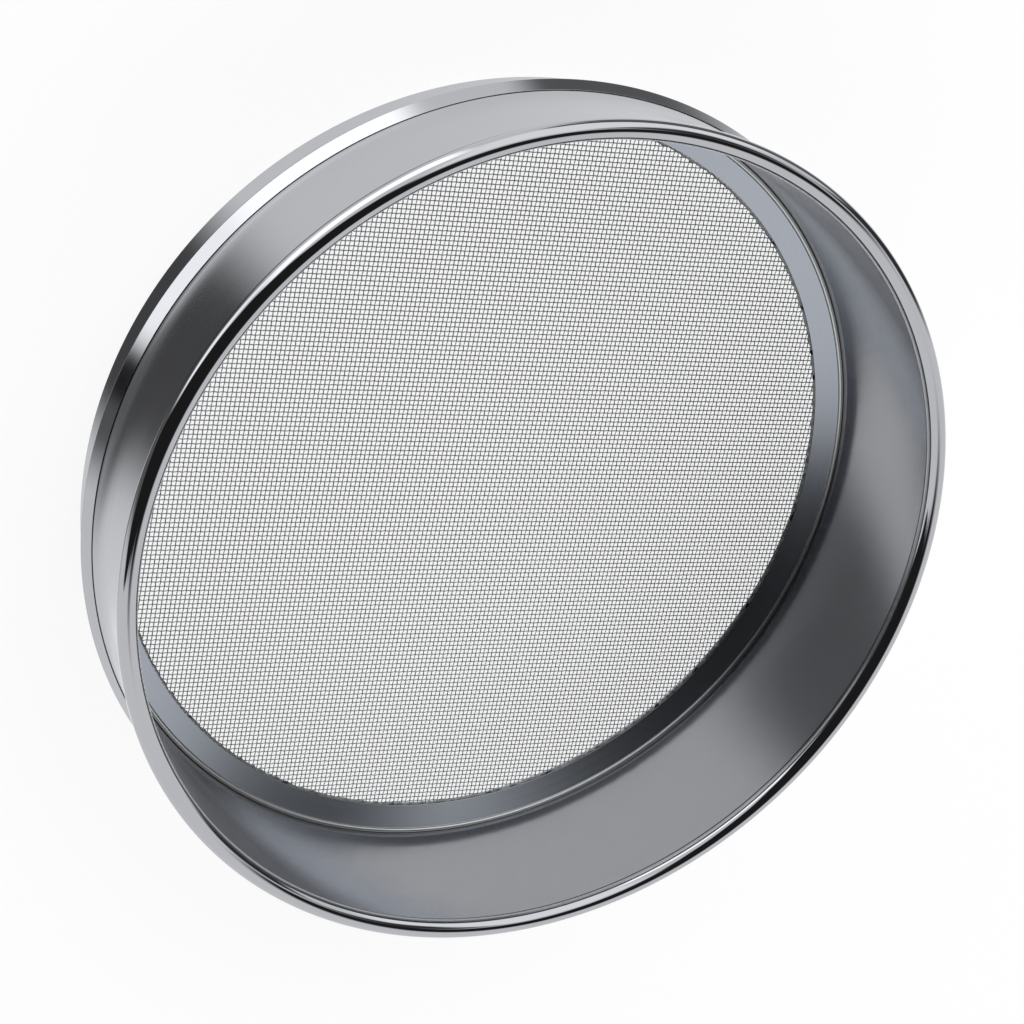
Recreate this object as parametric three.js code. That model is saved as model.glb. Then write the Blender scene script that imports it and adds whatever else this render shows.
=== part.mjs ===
import * as THREE from 'three';

// A round soil sieve that stacks: a spun wall with a rolled rim, a foot ring pressed round its lower
// end, and a woven wire cloth clamped and soldered between two inner rings.
// Millimetres, +Z up, with the origin at the centre of the foot.

const mouthRadius = 100; // inside the rolled rim, half the nominal size of the sieve
const overallHeight = 48.6;
const sheet = 0.6; // both spun rings are made of it
const fitGap = 0.05; // between pieces that are pressed or soldered together
const beadRadius = 2.35; // outside of the rolled rim

const wallFootRadius = 98.5; // inside the wall, where the clamp ring sits
const wallFootHeight = 0.6; // the wall stops short of the foot, which the foot ring reaches
const wallTaperStart = 15.5; // the wall is straight below it, where the foot ring is pressed on
const curlStart = 180; // degrees round the rim's tube: where the wall runs into it
const curlEnd = -118; // and where the sheet's edge stops, just short of the wall

const ribRadius = 1.7; // outside of the rib, which rests on the rim below
const ribCentreRadius = 101.5;
const ribCentreHeight = 12.3;
const ribTopAngle = 150; // degrees round the rib, where its rolled edge stops short of the wall
const flareRadius = 1.5; // the hollow curve between the skirt and the rib

const clothThickness = 0.6; // two wire diameters, where the wires cross
const clothRadius = 97.6;
const clothUnderside = 4.15;

const lipRadius = 92; // inner edge of the clamp ring
const lipHeight = 0.45;
const clampEdgeWidth = 1.2; // rounded top edge that shows as a bright line inside
const clampTop = 8.45;

const supportInnerRadius = 92.5;
const supportThickness = 1.1;

const solderWidth = 0.55;
const solderHeight = 0.4;
const seamWidth = 1.3;
const seamHeight = 0.8;

const aroundSteps = 72;
const curlSteps = 13;
const ribSteps = 12;
const flareSteps = 5;
const edgeSteps = 4;

const chromedSteel = new THREE.MeshStandardMaterial({ color: 0xb6b8bd, roughness: 0.22, metalness: 1 });
const polishedBead = new THREE.MeshStandardMaterial({ color: 0xc9cbcf, roughness: 0.1, metalness: 1 });
const turnedSteel = new THREE.MeshStandardMaterial({ color: 0x8f959d, roughness: 0.3, metalness: 1 });
const clothWire = new THREE.MeshStandardMaterial({ color: 0x8a8d90, roughness: 0.4, metalness: 1 });
const solder = new THREE.MeshStandardMaterial({ color: 0x9a9b99, roughness: 0.45, metalness: 1 });

const point = (radius, height) => new THREE.Vector2(radius, height);

// Points along an arc in the section plane, from one angle to another, both in degrees.
function arc(centre, radius, from, to, steps) {
  const points = [];
  for (let i = 0; i <= steps; i++) {
    const angle = THREE.MathUtils.degToRad(from + ((to - from) * i) / steps);
    points.push(point(centre.x + radius * Math.cos(angle), centre.y + radius * Math.sin(angle)));
  }
  return points;
}

// One side of a sheet: its middle line moved sideways, mitred at each corner.
function offsetLine(line, distance) {
  return line.map((here, i) => {
    const before = here.clone().sub(line[Math.max(i - 1, 0)]).normalize();
    const after = line[Math.min(i + 1, line.length - 1)].clone().sub(here).normalize();
    if (i === 0) before.copy(after);
    if (i === line.length - 1) after.copy(before);
    const along = before.clone().add(after).normalize();
    const mitre = distance / along.dot(before);
    return point(here.x + along.y * mitre, here.y - along.x * mitre);
  });
}

const sheetSection = (line) => [...offsetLine(line, sheet / 2), ...offsetLine(line, -sheet / 2).reverse()];

const signedArea = (section) =>
  section.reduce((sum, here, i) => sum + here.cross(section[(i + 1) % section.length]), 0) / 2;

// A closed section turned round the axis. Anticlockwise sections give faces that point outwards.
function turned(name, section, material) {
  const outline = signedArea(section) > 0 ? section : [...section].reverse();
  const geometry = new THREE.LatheGeometry([...outline, outline[0].clone()], aroundSteps);
  geometry.rotateX(Math.PI / 2);
  const mesh = new THREE.Mesh(geometry, material);
  mesh.name = name;
  return mesh;
}

// A solid disc, whose outline starts and ends on the axis.
function disc(name, radius, low, high, material) {
  const outline = [point(0, low), point(radius, low), point(radius, high), point(0, high)];
  const geometry = new THREE.LatheGeometry(outline, aroundSteps);
  geometry.rotateX(Math.PI / 2);
  const mesh = new THREE.Mesh(geometry, material);
  mesh.name = name;
  return mesh;
}

// The wall closes in slightly towards the foot, so that one sieve sits in the mouth of the next.
function upperFrame() {
  const tubeRadius = beadRadius - sheet / 2;
  const tube = point(mouthRadius + beadRadius, overallHeight - beadRadius);
  const curl = arc(tube, tubeRadius, curlEnd, curlStart, curlSteps);
  const wallMiddle = wallFootRadius + sheet / 2;
  return turned('upper_frame', sheetSection([
    ...curl,
    point(wallMiddle, wallTaperStart),
    point(wallMiddle, wallFootHeight),
  ]), chromedSteel);
}

// Pressed round the wall. A small flare leads from its skirt out into the rolled rib.
function footRing() {
  const middle = wallFootRadius + sheet + fitGap + sheet / 2;
  const rib = point(ribCentreRadius, ribCentreHeight);
  const tubeRadius = ribRadius - sheet / 2;
  const flareOffset = middle + flareRadius - rib.x;
  const turn = Math.acos(flareOffset / (tubeRadius + flareRadius));
  const flare = point(rib.x + flareOffset, rib.y - (tubeRadius + flareRadius) * Math.sin(turn));
  const flareEnd = THREE.MathUtils.radToDeg(turn);
  return turned('foot_ring', sheetSection([
    point(middle, 0),
    ...arc(flare, flareRadius, 180, 180 - flareEnd, flareSteps),
    ...arc(rib, tubeRadius, -flareEnd, ribTopAngle, ribSteps).slice(1),
  ]), polishedBead);
}

const clothTop = clothUnderside + clothThickness;

// A turned wedge: its slope sheds the soil onto the cloth, and its top edge is rounded over.
function clampRing() {
  const outer = wallFootRadius - fitGap;
  const low = clothTop + fitGap;
  const edge = point(outer - clampEdgeWidth / 2, clampTop - clampEdgeWidth / 2);
  return turned('clamp_ring', [
    point(lipRadius, low),
    point(outer, low),
    ...arc(edge, clampEdgeWidth / 2, 0, 180, edgeSteps),
    point(lipRadius, low + lipHeight),
  ], turnedSteel);
}

function supportRing() {
  const outer = wallFootRadius - fitGap;
  const high = clothUnderside - fitGap;
  return turned('support_ring', [
    point(supportInnerRadius, high - supportThickness),
    point(outer, high - supportThickness),
    point(outer, high),
    point(supportInnerRadius, high),
  ], turnedSteel);
}

// Solder along the clamp ring's lip, where it seals the cut edge of the openings.
function lipSolder() {
  const outer = lipRadius - fitGap;
  const low = clothTop + fitGap;
  return turned('lip_solder', [
    point(outer - solderWidth, low),
    point(outer, low),
    point(outer, low + solderHeight),
  ], solder);
}

// Solder in the corner under the support ring, which holds both rings and the cloth in the wall.
function seamSolder() {
  const outer = wallFootRadius - fitGap;
  const high = clothUnderside - 2 * fitGap - supportThickness;
  return turned('seam_solder', [
    point(outer, high - seamHeight),
    point(outer, high),
    point(outer - seamWidth, high),
  ], solder);
}

const sieve = new THREE.Group();
sieve.add(
  upperFrame(),
  footRing(),
  clampRing(),
  disc('wire_cloth', clothRadius, clothUnderside, clothTop, clothWire),
  supportRing(),
  lipSolder(),
  seamSolder(),
);

export default sieve;
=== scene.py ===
import bpy
import math
from mathutils import Matrix, Vector, noise


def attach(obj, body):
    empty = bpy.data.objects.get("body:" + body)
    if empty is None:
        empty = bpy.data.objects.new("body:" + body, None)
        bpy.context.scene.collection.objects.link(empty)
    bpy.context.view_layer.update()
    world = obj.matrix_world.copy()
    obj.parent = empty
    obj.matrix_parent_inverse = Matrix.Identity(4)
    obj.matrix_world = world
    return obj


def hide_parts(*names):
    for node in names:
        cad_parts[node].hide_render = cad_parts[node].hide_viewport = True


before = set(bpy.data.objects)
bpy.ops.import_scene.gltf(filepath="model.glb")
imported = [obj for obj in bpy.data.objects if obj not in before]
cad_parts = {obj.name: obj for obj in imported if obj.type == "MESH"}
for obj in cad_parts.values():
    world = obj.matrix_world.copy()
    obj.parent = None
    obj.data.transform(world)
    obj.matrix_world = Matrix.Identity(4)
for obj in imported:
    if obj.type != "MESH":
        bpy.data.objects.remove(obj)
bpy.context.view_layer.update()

mm = 0.001
scene = bpy.context.scene


def hexColor(text):
    # sRGB hex to the linear colour that shaders expect
    parts = [int(text[i:i + 2], 16) / 255 for i in (1, 3, 5)]
    return [p / 12.92 if p <= 0.04045 else ((p + 0.055) / 1.055) ** 2.4 for p in parts] + [1.0]


def addNode(tree, kind, settings=None, links=None):
    # settings: node properties or socket values
    # links: socket -> a value, an output, or a node for its first output; a list fills the sockets in order
    node = tree.nodes.new(kind)
    for key, value in (settings or {}).items():
        if isinstance(key, str) and hasattr(node, key):
            setattr(node, key, value)
        else:
            node.inputs[key].default_value = value
    pairs = links.items() if isinstance(links, dict) else enumerate(links or [])
    for key, value in pairs:
        if isinstance(value, bpy.types.Node):
            value = value.outputs[0]
        if isinstance(value, bpy.types.NodeSocket):
            tree.links.new(value, node.inputs[key])
        else:
            node.inputs[key].default_value = value
    return node


cameraSetup = {
    "place": (-284.985, 243.369, 536.732),  # mm
    "aim": (1.061, -1.801, 20.0),           # mm
    "roll": 136.62,                         # degrees about the view axis
    "lens": 93.76,                          # mm
    "sensor": 36,                           # mm
}


def makeCamera(setup):
    data = bpy.data.cameras.new("studioCamera")
    data.lens = setup["lens"]
    data.sensor_width = setup["sensor"]
    data.clip_start = 10 * mm
    camera = bpy.data.objects.new("studioCamera", data)
    scene.collection.objects.link(camera)
    place = Vector(setup["place"]) * mm
    look = Vector(setup["aim"]) * mm - place
    turn = look.to_track_quat("-Z", "Y").to_matrix()
    roll = Matrix.Rotation(math.radians(setup["roll"]), 3, "Z")
    camera.matrix_world = Matrix.Translation(place) @ (turn @ roll).to_4x4()
    scene.camera = camera


makeCamera(cameraSetup)
print("camera placed")


# Polished metal shows the room, so the room is soft cards and dark flags round a pale sweep.
studio = {
    "sweep": 0.95,       # brightness of the plain surroundings
    "backdrop": 1.0,     # brightness straight behind the sieve
    "ceiling": 0.02,     # dark overhead, which draws the dark lines along the rim
    "ceilingSoft": 5.0,  # degrees
    # where the dark ceiling starts: azimuth, elevation
    "ceilingEdge": [(-180, -25), (-166, 0), (-150, 18), (-138, 50), (-120, 61), (-60, 61), (-30, 56),
                    (-10, 47), (2, 38), (14, 38), (26, 58), (40, 64), (70, 66), (90, 64), (102, 55),
                    (112, 48), (130, 40), (140, 26), (150, 9), (160, -2), (170, -12), (180, -25)],
}
# azimuth, elevation, half width, half height and softness in degrees, then brightness; later ones lie on top
cards = {
    "sideCard": (67, 28, 30, 30, 5, 1.3),
    "softbox": (121, -8, 23, 25, 4, 2.1),
    "bounceCard": (-52, -58, 46, 18, 8, 1.2),
    "tableEdge": (48, -8, 33, 8, 3, 0.12),
    "tableShade": (46, -24, 27, 9, 5, 0.15),
    "underTable": (0, -90, 200, 17, 6, 0.05),
    "narrowFlag": (12, 5, 11, 25, 4, 0.05),
    "leaningFlag": (34, 45, 15, 12, 5, 0.06),
    "standFlag": (181, -62, 35, 24, 13, 0.09),
    "standBack": (183, -20, 16, 26, 7, 0.15),
    "lowCard": (156, -19, 17, 13, 6, 1.7),
}


def makeStudio(setup, cardList):
    world = bpy.data.worlds.new("studioRoom")
    scene.world = world
    world.use_nodes = True
    tree = world.node_tree
    tree.nodes.clear()
    direction = addNode(tree, "ShaderNodeTexCoord").outputs["Generated"]
    height = addNode(tree, "ShaderNodeSeparateXYZ", links=[direction]).outputs[2]
    arc = addNode(tree, "ShaderNodeMath", {"operation": "ARCSINE"}, [height])
    elevation = addNode(tree, "ShaderNodeMath", {"operation": "DEGREES"}, [arc])

    def azimuthFrom(centre):
        turned = addNode(tree, "ShaderNodeVectorRotate",
                         {"rotation_type": "Z_AXIS", "Angle": -math.radians(centre)}, {"Vector": direction})
        parts = addNode(tree, "ShaderNodeSeparateXYZ", links=[turned]).outputs
        arc = addNode(tree, "ShaderNodeMath", {"operation": "ARCTAN2"}, [parts[1], parts[0]])
        return addNode(tree, "ShaderNodeMath", {"operation": "DEGREES"}, [arc])

    level = setup["sweep"]
    for centre, middle, halfWidth, halfHeight, soft, brightness in cardList.values():
        above = addNode(tree, "ShaderNodeMath", {"operation": "SUBTRACT"}, [elevation, middle])
        masks = []
        for angle, half in ((azimuthFrom(centre), halfWidth), (above, halfHeight)):
            away = addNode(tree, "ShaderNodeMath", {"operation": "ABSOLUTE"}, [angle])
            edges = {"interpolation_type": "SMOOTHSTEP", 1: half + soft, 2: half - soft}
            masks.append(addNode(tree, "ShaderNodeMapRange", edges, [away]))
        mask = addNode(tree, "ShaderNodeMath", {"operation": "MULTIPLY"}, masks)
        level = addNode(tree, "ShaderNodeMix", {"data_type": "FLOAT", 3: brightness}, {0: mask, 2: level})

    # the ceiling's edge is a ramp round the horizon, with -90 to 90 degrees kept as 0 to 1
    around = addNode(tree, "ShaderNodeMath", {"operation": "MULTIPLY_ADD", 1: 1 / 360, 2: 0.5},
                     [azimuthFrom(0)])
    ramp = addNode(tree, "ShaderNodeValToRGB", {"label": "ceiling edge"}, [around])
    ramp.color_ramp.interpolation = "EASE"
    stops = ramp.color_ramp.elements
    for i, (azimuth, edge) in enumerate(setup["ceilingEdge"]):
        stop = stops[i] if i < len(stops) else stops.new(azimuth / 360 + 0.5)
        stop.position = azimuth / 360 + 0.5
        stop.color = [(edge + 90) / 180] * 3 + [1]
    edge = addNode(tree, "ShaderNodeMath", {"operation": "MULTIPLY_ADD", 1: 180, 2: -90}, [ramp])
    past = addNode(tree, "ShaderNodeMath", {"operation": "SUBTRACT"}, [elevation, edge])
    soft = setup["ceilingSoft"]
    dark = addNode(tree, "ShaderNodeMapRange", {"interpolation_type": "SMOOTHSTEP", 1: -soft, 2: soft}, [past])
    room = addNode(tree, "ShaderNodeMix", {"data_type": "FLOAT", 3: setup["ceiling"]}, {0: dark, 2: level})
    seen = addNode(tree, "ShaderNodeLightPath").outputs["Is Camera Ray"]
    shown = addNode(tree, "ShaderNodeMix", {"data_type": "FLOAT", 3: setup["backdrop"]}, {0: seen, 2: room})
    background = addNode(tree, "ShaderNodeBackground", {"Color": (1, 1, 1, 1)}, {"Strength": shown})
    addNode(tree, "ShaderNodeOutputWorld", links=[background])


makeStudio(studio, cards)
scene.view_settings.view_transform = "Standard"

floorLook = {
    "half": 4.0,         # metres from the middle to an edge
    "paper": "#8c8c8c",
    "roughness": 0.9,
    "glow": 0.86,        # keeps the paper white while the sieve still shades it
}


def makeFloor(look):
    half = look["half"]
    corners = [(-half, -half, 0), (half, -half, 0), (half, half, 0), (-half, half, 0)]
    mesh = bpy.data.meshes.new("studioFloor")
    mesh.from_pydata(corners, [], [(0, 1, 2, 3)])
    floor = bpy.data.objects.new("studioFloor", mesh)
    scene.collection.objects.link(floor)
    # matt white paper: no shine, and just enough shade to seat the sieve
    material = bpy.data.materials.new("paleSweepPaper")
    material.use_nodes = True
    shader = material.node_tree.nodes["Principled BSDF"]
    shader.inputs["Base Color"].default_value = hexColor(look["paper"])
    shader.inputs["Roughness"].default_value = look["roughness"]
    shader.inputs["Specular IOR Level"].default_value = 0.0
    shader.inputs["Emission Color"].default_value = (1, 1, 1, 1)
    shader.inputs["Emission Strength"].default_value = look["glow"]
    mesh.materials.append(material)
    floor.visible_glossy = False  # the metal shows the cards instead


makeFloor(floorLook)
print("studio built")


def ringCoordinates(tree, across, around):
    # fine across the lathe lines and long round the axis; across is in mm, around in mm
    place = addNode(tree, "ShaderNodeTexCoord").outputs["Object"]
    parts = addNode(tree, "ShaderNodeSeparateXYZ", links=[place]).outputs
    flat = addNode(tree, "ShaderNodeCombineXYZ", links=[parts[0], parts[1]])
    radius = addNode(tree, "ShaderNodeVectorMath", {"operation": "LENGTH"}, [flat]).outputs["Value"]
    section = addNode(tree, "ShaderNodeCombineXYZ", links=[radius, parts[2]])
    scaled = [addNode(tree, "ShaderNodeVectorMath", {"operation": "SCALE", "Scale": 1 / (size * mm)}, [source])
              for source, size in ((section, across), (place, around))]
    return addNode(tree, "ShaderNodeVectorMath", {"operation": "ADD"}, scaled), place


def newFinish(name):
    material = bpy.data.materials.new(name)
    material.use_nodes = True
    shader = material.node_tree.nodes["Principled BSDF"]
    shader.inputs["Metallic"].default_value = 1.0
    return material, material.node_tree, shader


chromeLook = {
    "dark": "#b4b6bb",
    "light": "#bcbdc1",
    # dark grey painted under the bead as shade in the crease
    "paintedShade": "#5b5d61",
    "latheLine": 0.25,   # mm between polishing lines; real ones are nearer 0.05, drawn coarser to show
    "streakLength": 30,  # mm
    "cloud": 200 / 9,    # mm across the hazy patches left by wiping
    "haze": (0.1, 0.45),       # noise values for the clearest and the haziest finish
    "paintedShadeEdge": (-0.2, 0.1),  # mm from the painted shade's height, all painted shade to none
    "bumpStrength": 0.5,
}
steelLook = {
    "streakLength": 50 / 3,  # mm
    "fluxPatch": 100 / 21,   # mm
    "fluxEdge": (0.58, 0.66),  # noise values where the flux starts and is full
    "bumpStrength": 0.6,
}


def polishedChrome(name, roughness, bumpHeight, anisotropy, paintedShadeBelow=None):
    # Chrome plate on spun steel: a cool mirror, softened along faint polishing lines that run round the axis.
    material, tree, shader = newFinish(name)
    lines, place = ringCoordinates(tree, chromeLook["latheLine"], chromeLook["streakLength"])
    polish = addNode(tree, "ShaderNodeTexNoise", {"Scale": 1.0, "Detail": 3.0, "Roughness": 0.6},
                     {"Vector": lines})
    cloudScale = 1 / (chromeLook["cloud"] * mm)
    cloudy = addNode(tree, "ShaderNodeTexNoise", {"Scale": cloudScale, "Detail": 4.0, "Roughness": 0.55},
                     {"Vector": place})
    colour = addNode(tree, "ShaderNodeMix", {"data_type": "RGBA", 6: hexColor(chromeLook["dark"]),
                     7: hexColor(chromeLook["light"])}, [cloudy]).outputs[2]
    if paintedShadeBelow:
        # painted shade: dark grey painted into the turn under the bead, standing in for the shadowed crease
        # where the curl meets the wall
        height = addNode(tree, "ShaderNodeSeparateXYZ", links=[place]).outputs[2]
        low, high = ((paintedShadeBelow + shift) * mm for shift in chromeLook["paintedShadeEdge"])
        unshaded = addNode(tree, "ShaderNodeMapRange", {"interpolation_type": "SMOOTHSTEP", 1: low, 2: high},
                        [height])
        colour = addNode(tree, "ShaderNodeMix", {"data_type": "RGBA", 6: hexColor(chromeLook["paintedShade"])},
                         {0: unshaded, 7: colour}).outputs[2]
    both = addNode(tree, "ShaderNodeMath", {"operation": "MULTIPLY"}, [polish, cloudy])
    clear, hazy = chromeLook["haze"]
    rough = addNode(tree, "ShaderNodeMapRange", {1: clear, 2: hazy, 3: roughness[0], 4: roughness[1]}, [both])
    relief = {"Strength": chromeLook["bumpStrength"], "Distance": bumpHeight * mm}
    bump = addNode(tree, "ShaderNodeBump", relief, {"Height": polish})
    tree.links.new(colour, shader.inputs["Base Color"])
    tree.links.new(rough.outputs[0], shader.inputs["Roughness"])
    tree.links.new(bump.outputs[0], shader.inputs["Normal"])
    shader.inputs["Anisotropic"].default_value = anisotropy
    if anisotropy:
        tangent = addNode(tree, "ShaderNodeTangent", {"direction_type": "RADIAL", "axis": "Z"})
        tree.links.new(tangent.outputs[0], shader.inputs["Tangent"])
    return material


def satinSteel(name, dark, light, roughness, lineSpacing, bumpHeight, residue=None):
    # Turned or drawn steel: duller than the chrome, with tool lines that blur what it shows.
    material, tree, shader = newFinish(name)
    lines, place = ringCoordinates(tree, lineSpacing, steelLook["streakLength"])
    turned = addNode(tree, "ShaderNodeTexNoise", {"Scale": 1.0, "Detail": 4.0, "Roughness": 0.65},
                     {"Vector": lines})
    colour = addNode(tree, "ShaderNodeMix", {"data_type": "RGBA", 6: hexColor(dark), 7: hexColor(light)},
                     [turned]).outputs[2]
    if residue:
        # burnt flux, left in dark patches
        fluxScale = 1 / (steelLook["fluxPatch"] * mm)
        patches = addNode(tree, "ShaderNodeTexNoise", {"Scale": fluxScale, "Detail": 3.0}, {"Vector": place})
        low, high = steelLook["fluxEdge"]
        mask = addNode(tree, "ShaderNodeMapRange", {"interpolation_type": "SMOOTHSTEP", 1: low, 2: high},
                       [patches])
        colour = addNode(tree, "ShaderNodeMix", {"data_type": "RGBA", 7: hexColor(residue)},
                         {0: mask, 6: colour}).outputs[2]
    rough = addNode(tree, "ShaderNodeMapRange", {3: roughness[0], 4: roughness[1]}, [turned])
    relief = {"Strength": steelLook["bumpStrength"], "Distance": bumpHeight * mm}
    bump = addNode(tree, "ShaderNodeBump", relief, {"Height": turned})
    tree.links.new(colour, shader.inputs["Base Color"])
    tree.links.new(rough.outputs[0], shader.inputs["Roughness"])
    tree.links.new(bump.outputs[0], shader.inputs["Normal"])
    return material


def roundedOutline(corners, arcStep=8.0):
    # corners: radius, height, fillet. Gives a dense outline, with a support point beside each fillet.
    outline = []
    count = len(corners)
    for i, (r, z, fillet) in enumerate(corners):
        here = Vector((r, z))
        back = Vector(corners[i - 1][:2]) - here
        ahead = Vector(corners[(i + 1) % count][:2]) - here
        opening = back.angle(ahead)
        back.normalize()
        ahead.normalize()
        straight = opening > math.radians(179)
        if fillet <= 0 or straight:
            outline.append(here)
            continue
        reach = fillet / math.tan(opening / 2)
        centre = here + (back + ahead).normalized() * (fillet / math.sin(opening / 2))
        start = here + back * reach
        end = here + ahead * reach
        first = math.atan2(*(start - centre).yx)
        sweep = math.atan2(*(end - centre).yx) - first
        sweep = (sweep + math.pi) % (2 * math.pi) - math.pi
        steps = max(2, round(math.degrees(abs(sweep)) / arcStep))
        support = min(0.06, fillet * 0.2)  # mm
        outline.append(start + back * support)
        for k in range(steps + 1):
            angle = first + sweep * k / steps
            outline.append(centre + Vector((math.cos(angle), math.sin(angle))) * fillet)
        outline.append(end + ahead * support)
    return outline


def arcOutline(centre, radius, start, end, step=5.0):
    steps = max(2, round(abs(end - start) / step))
    points = []
    for k in range(steps + 1):
        angle = math.radians(start + (end - start) * k / steps)
        points.append(Vector((centre[0] + radius * math.cos(angle), centre[1] + radius * math.sin(angle))))
    return points


ringSteps = 360
sharpAngle = 35  # degrees, past which an edge stays crisp


def spinRing(name, outline, material, steps=ringSteps, wobble=None):
    # one closed section turned round the axis, always taken the same way round so its faces point outwards
    area = sum(a.x * b.y - b.x * a.y for a, b in zip(outline, outline[1:] + outline[:1]))
    if area < 0:
        outline = outline[::-1]
    count = len(outline)
    verts, faces = [], []
    for s in range(steps):
        angle = 2 * math.pi * s / steps
        for k, p in enumerate(outline):
            q = wobble(p, angle, k) if wobble else p
            verts.append((q.x * math.cos(angle) * mm, q.x * math.sin(angle) * mm, q.y * mm))
    for s in range(steps):
        here, there = s * count, (s + 1) % steps * count
        for k in range(count):
            n = (k + 1) % count
            faces.append((here + k, there + k, there + n, here + n))
    mesh = bpy.data.meshes.new(name)
    mesh.from_pydata(verts, [], faces)
    mesh.polygons.foreach_set("use_smooth", [True] * len(faces))
    mesh.set_sharp_from_angle(angle=math.radians(sharpAngle))
    mesh.materials.append(material)
    piece = bpy.data.objects.new(name, mesh)
    scene.collection.objects.link(piece)
    return piece


def finishPiece(piece, node):
    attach(piece, "root")
    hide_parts(node)


def dressAbove(piece, height, material):
    # the second material covers what lies above this height in mm
    piece.data.materials.append(material)
    for face in piece.data.polygons:
        face.material_index = 1 if face.center.z > height * mm else 0


# the spun wall with its rolled rim; radii and heights in mm
wallShape = {
    "rimRadius": 102.35,
    "rimHeight": 46.25,
    "tubeOutside": 2.35,
    "tubeInside": 1.75,
    "curlEnd": -118,    # degrees round the tube
    "neck": 205,        # degrees round the tube, where the wall starts
    "beadBelow": 2.0,   # how far under the tube's middle the bright bead finish reaches
    "footInside": 98.5,
    "footOutside": 99.1,
    "taperStart": 15.5,
    "foot": 0.6,
    # outside of the wall, flaring to meet the rib: radius, height
    "flare": [(99.1, 14.6), (101.6, 15.0), (101.58, 16.1), (101.3, 17.2), (101.0, 18.6), (100.75, 20.3),
              (100.6, 22.5), (100.52, 25.5), (100.5, 30.0)],
    "wallRoughness": (0.16, 0.24),
    "beadRoughness": (0.03, 0.07),
    # height in mm below which the bead gets painted shade
    "paintedShadeBelow": 45.9,
}


def makeWall(shape):
    # chrome on the spun sheet: a soft mirror, drawn out along the lathe lines
    wallChrome = polishedChrome("chromeSpunWall", shape["wallRoughness"], 0.001, 0.4)
    # chrome buffed on the bead: a sharp mirror, with painted shade darkening the turn under the bead
    beadChrome = polishedChrome("chromePolishedBead", shape["beadRoughness"], 0.0008, 0.0, shape["paintedShadeBelow"])
    centre = (shape["rimRadius"], shape["rimHeight"])
    outside = arcOutline(centre, shape["tubeOutside"], shape["curlEnd"], shape["neck"])
    inside = arcOutline(centre, shape["tubeInside"], 180, shape["curlEnd"])
    low = [(shape["footInside"], shape["taperStart"]), (shape["footInside"], shape["foot"]),
           (shape["footOutside"], shape["foot"])]
    outline = outside + [Vector(p) for p in low + shape["flare"]] + inside
    wall = spinRing("spunWall", outline, wallChrome)
    dressAbove(wall, shape["rimHeight"] - shape["beadBelow"], beadChrome)
    finishPiece(wall, "upper_frame")


makeWall(wallShape)

footShape = {
    # skirt, then the rib, whose face leans in towards the top and closes on the wall: radius, height, fillet
    "corners": [(99.75, 0.0, 0.15), (99.75, 9.2, 0.8), (102.1, 10.3, 0.5), (103.25, 12.7, 0.4),
                (101.68, 16.3, 0.06), (101.63, 16.1, 0.0), (101.63, 14.8, 0.0), (99.15, 14.3, 0.0),
                (99.15, 0.0, 0.15)],
    "roughness": (0.08, 0.14),
}


def makeFoot(shape):
    # chrome on the rolled rib: nearly a mirror, so its light and dark bands keep firm edges
    footChrome = polishedChrome("chromePressedFoot", shape["roughness"], 0.001, 0.2)
    foot = spinRing("footBand", roundedOutline(shape["corners"]), footChrome)
    finishPiece(foot, "foot_ring")


makeFoot(footShape)

# the ring that holds the cloth down: upright edge, then a slope to the lip
clampShape = {
    "corners": [(92.0, 4.8, 0.08), (98.45, 4.8, 0.1), (98.45, 8.45, 0.59), (97.25, 8.45, 0.59),
                (97.25, 7.85, 0.2), (92.0, 5.25, 0.15)],
    "edgeFrom": 7.9,  # height above which the rounded top edge is painted paler, a painted highlight
}
# the ring that carries the cloth from below
supportShape = {
    "corners": [(92.5, 3.0, 0.1), (98.45, 3.0, 0.1), (98.45, 4.1, 0.1), (92.5, 4.1, 0.1)],
}


def makeInnerRings(clamp, support):
    # turned steel: a cool grey sheen, blurred a little by fine tool lines
    ringSteel = satinSteel("steelTurnedRing", "#a2a8b2", "#b3b8c0", (0.2, 0.3), 0.2, 0.003)
    # painted highlight: the rounded top edge gets a paler, softer steel so it looks lit most of the way round
    paintedHighlightEdge = satinSteel("steelPaintedHighlightEdge", "#c2c4c6", "#dcdcda", (0.26, 0.36), 0.2, 0.002)
    clampRing = spinRing("clampCollar", roundedOutline(clamp["corners"]), ringSteel)
    # paler colour above this height: painted highlight on the top edge
    dressAbove(clampRing, clamp["edgeFrom"], paintedHighlightEdge)
    finishPiece(clampRing, "clamp_ring")
    supportRing = spinRing("supportCollar", roundedOutline(support["corners"]), ringSteel)
    finishPiece(supportRing, "support_ring")


makeInnerRings(clampShape, supportShape)
print("rings turned")


# the woven cloth, in mm
clothShape = {
    "radius": 97.6,
    "height": 4.45,        # middle of the cloth
    "wire": 0.30,
    "warpSpacing": 1.125,  # along X, for the wires that run along Y
    "weftSpacing": 1.185,
    "sides": 4,            # corners of a wire's section
    "unevenness": 0.035,
    "parts": 3,            # pieces that each set of wires is split into
    "weftSeed": 3.0,
    "warpSeed": 7.0,
}


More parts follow.
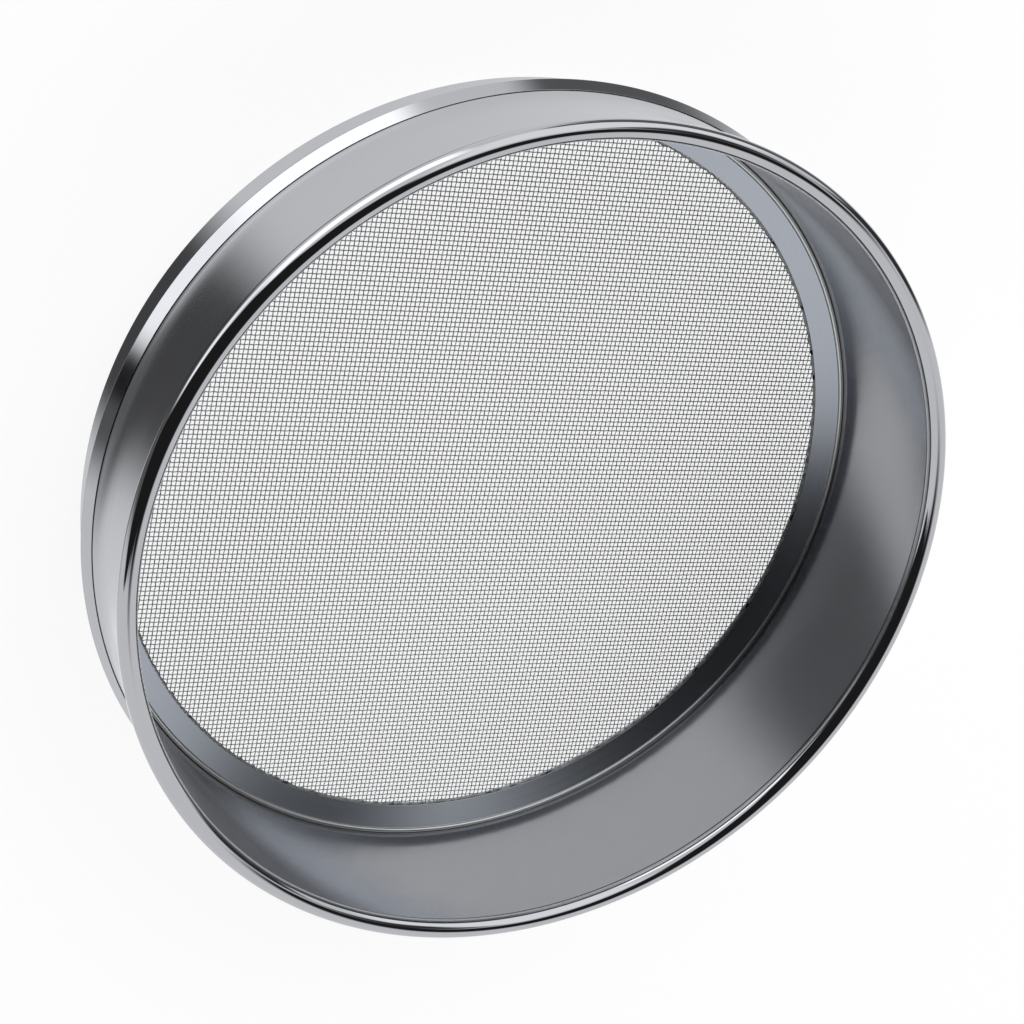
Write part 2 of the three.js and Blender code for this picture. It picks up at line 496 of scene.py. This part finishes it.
def wireTree():
    # One set of parallel wires, waved over and under a crossing set, clipped to a round.
    tree = bpy.data.node_groups.new("weaveWires", "GeometryNodeTree")
    face = tree.interface
    face.new_socket("Geometry", in_out="OUTPUT", socket_type="NodeSocketGeometry")
    kinds = {
        "Float": ("Spacing", "Crossing", "Radius", "Wire", "Phase", "Low", "High", "Unevenness", "Seed"),
        "Int": ("Wires", "Steps", "Sides"),
        "Material": ("Material",),
    }
    for kind, names in kinds.items():
        for name in names:
            face.new_socket(name, in_out="INPUT", socket_type="NodeSocket" + kind)
    given = addNode(tree, "NodeGroupInput").outputs

    # a grid of points: wires along Y, and along X a point at each crossing and one midway between neighbours
    gapsX = addNode(tree, "ShaderNodeMath", {"operation": "SUBTRACT"}, [given["Steps"], 1])
    gapsY = addNode(tree, "ShaderNodeMath", {"operation": "SUBTRACT"}, [given["Wires"], 1])
    halfCrossing = addNode(tree, "ShaderNodeMath", {"operation": "MULTIPLY"}, [given["Crossing"], 0.5])
    sizeX = addNode(tree, "ShaderNodeMath", {"operation": "MULTIPLY"}, [gapsX, halfCrossing])
    sizeY = addNode(tree, "ShaderNodeMath", {"operation": "MULTIPLY"}, [gapsY, given["Spacing"]])
    grid = addNode(tree, "GeometryNodeMeshGrid", links=[sizeX, sizeY, given["Steps"], given["Wires"]])

    # keep the points inside the round and inside this piece's band
    place = addNode(tree, "GeometryNodeInputPosition")
    x, y = addNode(tree, "ShaderNodeSeparateXYZ", links=[place]).outputs[:2]
    squareX = addNode(tree, "ShaderNodeMath", {"operation": "MULTIPLY"}, [x, x])
    squareY = addNode(tree, "ShaderNodeMath", {"operation": "MULTIPLY"}, [y, y])
    square = addNode(tree, "ShaderNodeMath", {"operation": "ADD"}, [squareX, squareY])
    reach = addNode(tree, "ShaderNodeMath", {"operation": "SQRT"}, [square])
    outside = addNode(tree, "ShaderNodeMath", {"operation": "GREATER_THAN"}, [reach, given["Radius"]])
    below = addNode(tree, "ShaderNodeMath", {"operation": "LESS_THAN"}, [y, given["Low"]])
    beyond = addNode(tree, "ShaderNodeMath", {"operation": "GREATER_THAN"}, [y, given["High"]])
    offBand = addNode(tree, "ShaderNodeMath", {"operation": "MAXIMUM"}, [below, beyond])
    away = addNode(tree, "ShaderNodeMath", {"operation": "MAXIMUM"}, [outside, offBand])
    kept = addNode(tree, "GeometryNodeDeleteGeometry", {"domain": "POINT"}, [grid, away])

    # drop the faces and the edges from wire to wire, which leaves the wires' middle lines
    noFaces = addNode(tree, "GeometryNodeDeleteGeometry", {"domain": "FACE", "mode": "ONLY_FACE"}, [kept])
    ends = addNode(tree, "GeometryNodeInputMeshEdgeVertices").outputs
    first = addNode(tree, "ShaderNodeSeparateXYZ", links=[ends["Position 1"]]).outputs[1]
    second = addNode(tree, "ShaderNodeSeparateXYZ", links=[ends["Position 2"]]).outputs[1]
    step = addNode(tree, "ShaderNodeMath", {"operation": "SUBTRACT"}, [first, second])
    stepSize = addNode(tree, "ShaderNodeMath", {"operation": "ABSOLUTE"}, [step])
    halfSpacing = addNode(tree, "ShaderNodeMath", {"operation": "MULTIPLY"}, [given["Spacing"], 0.5])
    crosswise = addNode(tree, "ShaderNodeMath", {"operation": "GREATER_THAN"}, [stepSize, halfSpacing])
    lines = addNode(tree, "GeometryNodeDeleteGeometry", {"domain": "EDGE", "mode": "EDGE_FACE"},
                    [noFaces, crosswise])

    # over and under: the wave turns over from one wire to the next
    share = addNode(tree, "ShaderNodeMath", {"operation": "DIVIDE"}, [y, given["Spacing"]])
    row = addNode(tree, "ShaderNodeMath", {"operation": "ROUND"}, [share])
    along = addNode(tree, "ShaderNodeMath", {"operation": "DIVIDE"}, [x, given["Crossing"]])
    shift = addNode(tree, "ShaderNodeMath", {"operation": "ADD"}, [row, given["Phase"]])
    wave = addNode(tree, "ShaderNodeMath", {"operation": "ADD"}, [along, shift])
    turn = addNode(tree, "ShaderNodeMath", {"operation": "MULTIPLY"}, [wave, math.pi])
    cosine = addNode(tree, "ShaderNodeMath", {"operation": "COSINE"}, [turn])
    halfWire = addNode(tree, "ShaderNodeMath", {"operation": "MULTIPLY"}, [given["Wire"], 0.5])
    lift = addNode(tree, "ShaderNodeMath", {"operation": "MULTIPLY"}, [cosine, halfWire])

    # each wire wanders a little to the side over about 40 mm, much as its neighbour does
    driftX = addNode(tree, "ShaderNodeMath", {"operation": "MULTIPLY"}, [x, 1 / (40 * mm)])
    driftY = addNode(tree, "ShaderNodeMath", {"operation": "MULTIPLY"}, [row, 0.37])
    where = addNode(tree, "ShaderNodeCombineXYZ", links=[driftX, driftY, given["Seed"]])
    drift = addNode(tree, "ShaderNodeTexNoise", {"Scale": 1.0, "Detail": 2.0}, {"Vector": where})
    centred = addNode(tree, "ShaderNodeMath", {"operation": "SUBTRACT"}, [drift, 0.5])
    widest = addNode(tree, "ShaderNodeMath", {"operation": "MULTIPLY"}, [given["Unevenness"], 2.0])
    sideways = addNode(tree, "ShaderNodeMath", {"operation": "MULTIPLY"}, [centred, widest])
    offset = addNode(tree, "ShaderNodeCombineXYZ", links={1: sideways, 2: lift})
    waved = addNode(tree, "GeometryNodeSetPosition", links={0: lines, "Offset": offset})

    curves = addNode(tree, "GeometryNodeMeshToCurve", links=[waved])
    profile = addNode(tree, "GeometryNodeCurvePrimitiveCircle",
                      links={"Resolution": given["Sides"], "Radius": halfWire})
    tubes = addNode(tree, "GeometryNodeCurveToMesh", {"Fill Caps": True},
                    {"Curve": curves, "Profile Curve": profile})
    smooth = addNode(tree, "GeometryNodeSetShadeSmooth", links=[tubes])
    realized = addNode(tree, "GeometryNodeRealizeInstances", links=[smooth])
    dressed = addNode(tree, "GeometryNodeSetMaterial", links={0: realized, "Material": given["Material"]})
    addNode(tree, "NodeGroupOutput", links=[dressed])
    return tree


def runTree(name, tree, values):
    # the tree's result as a plain mesh
    carrier = bpy.data.objects.new(name + "Source", bpy.data.meshes.new(name + "Source"))
    scene.collection.objects.link(carrier)
    modifier = carrier.modifiers.new("weave", "NODES")
    modifier.node_group = tree
    for item in tree.interface.items_tree:
        if item.in_out == "INPUT":
            modifier[item.identifier] = values[item.name]
    carrier.update_tag()
    bpy.context.view_layer.update()
    evaluated = carrier.evaluated_get(bpy.context.evaluated_depsgraph_get())
    mesh = bpy.data.meshes.new_from_object(evaluated)
    mesh.name = name
    bpy.data.objects.remove(carrier)
    return mesh


def makeCloth(shape):
    # drawn steel wire: dull and pale, with a short light on the crown of each crossing
    wireSteel = satinSteel("steelDrawnWire", "#a4a6a8", "#c4c6c8", (0.3, 0.42), 0.3, 0.002)
    tree = wireTree()
    warp, weft = shape["warpSpacing"], shape["weftSpacing"]
    for kind, spacing, crossing, seed in (("weft", weft, warp, shape["weftSeed"]),
                                          ("warp", warp, weft, shape["warpSeed"])):
        turned = kind == "warp"
        band = 2 * shape["radius"] / shape["parts"]
        for part in range(shape["parts"]):
            low = -shape["radius"] + band * part
            values = {"Spacing": spacing * mm, "Crossing": crossing * mm, "Radius": shape["radius"] * mm,
                      "Wires": 2 * int(shape["radius"] / spacing) + 1,
                      "Steps": 4 * int(shape["radius"] / crossing) + 5,
                      "Wire": shape["wire"] * mm, "Phase": 1.0 if turned else 0.0,
                      "Low": low * mm, "High": (low + band) * mm, "Unevenness": shape["unevenness"] * mm,
                      "Seed": seed, "Sides": shape["sides"], "Material": wireSteel}
            name = kind + "Wires" + "ABC"[part]
            mesh = runTree(name, tree, values)
            for vertex in mesh.vertices:
                x, y, z = vertex.co
                z += shape["height"] * mm
                vertex.co = (-y, x, z) if turned else (x, y, z)
            piece = bpy.data.objects.new(name, mesh)
            scene.collection.objects.link(piece)
            finishPiece(piece, "wire_cloth")
            print(name, len(mesh.polygons), "faces")


makeCloth(clothShape)
print("cloth woven")


# solder runs: a section in mm, how ragged it is, and which of its corners wander
solderSteps = 1440
lumps = (60, 170)  # noise scales on a unit circle
lipSolderShape = {
    "corners": [(91.45, 4.8), (91.95, 4.8), (91.95, 5.2), (91.7, 5.1)],
    "ragged": 0.35,
    "wander": (0, 3),
    "seed": 11.0,
}
seamSolderShape = {
    "corners": [(98.45, 2.1), (98.45, 2.9), (97.15, 2.9), (97.8, 2.45)],
    "ragged": 0.3,
    "wander": (2, 3),
    "seed": 4.0,
}


def makeSolder(name, shape, material, node):
    def wobble(p, angle, k):
        if k not in shape["wander"]:
            return p
        around = Vector((math.cos(angle), math.sin(angle), shape["seed"]))
        push = noise.noise(around * lumps[0]) + 0.6 * noise.noise(around * lumps[1])
        return Vector((p.x + shape["ragged"] * push, p.y))

    section = [Vector(corner) for corner in shape["corners"]]
    piece = spinRing(name, section, material, solderSteps, wobble)
    finishPiece(piece, node)


# tin solder run by hand: matt and lumpy grey, with black flux left in it
softSolder = satinSteel("solderDullTin", "#6f7272", "#a6a8a6", (0.35, 0.6), 0.5, 0.03, "#222426")
makeSolder("lipSolderRun", lipSolderShape, softSolder, "lip_solder")
makeSolder("seamSolderRun", seamSolderShape, softSolder, "seam_solder")
print("solder run")
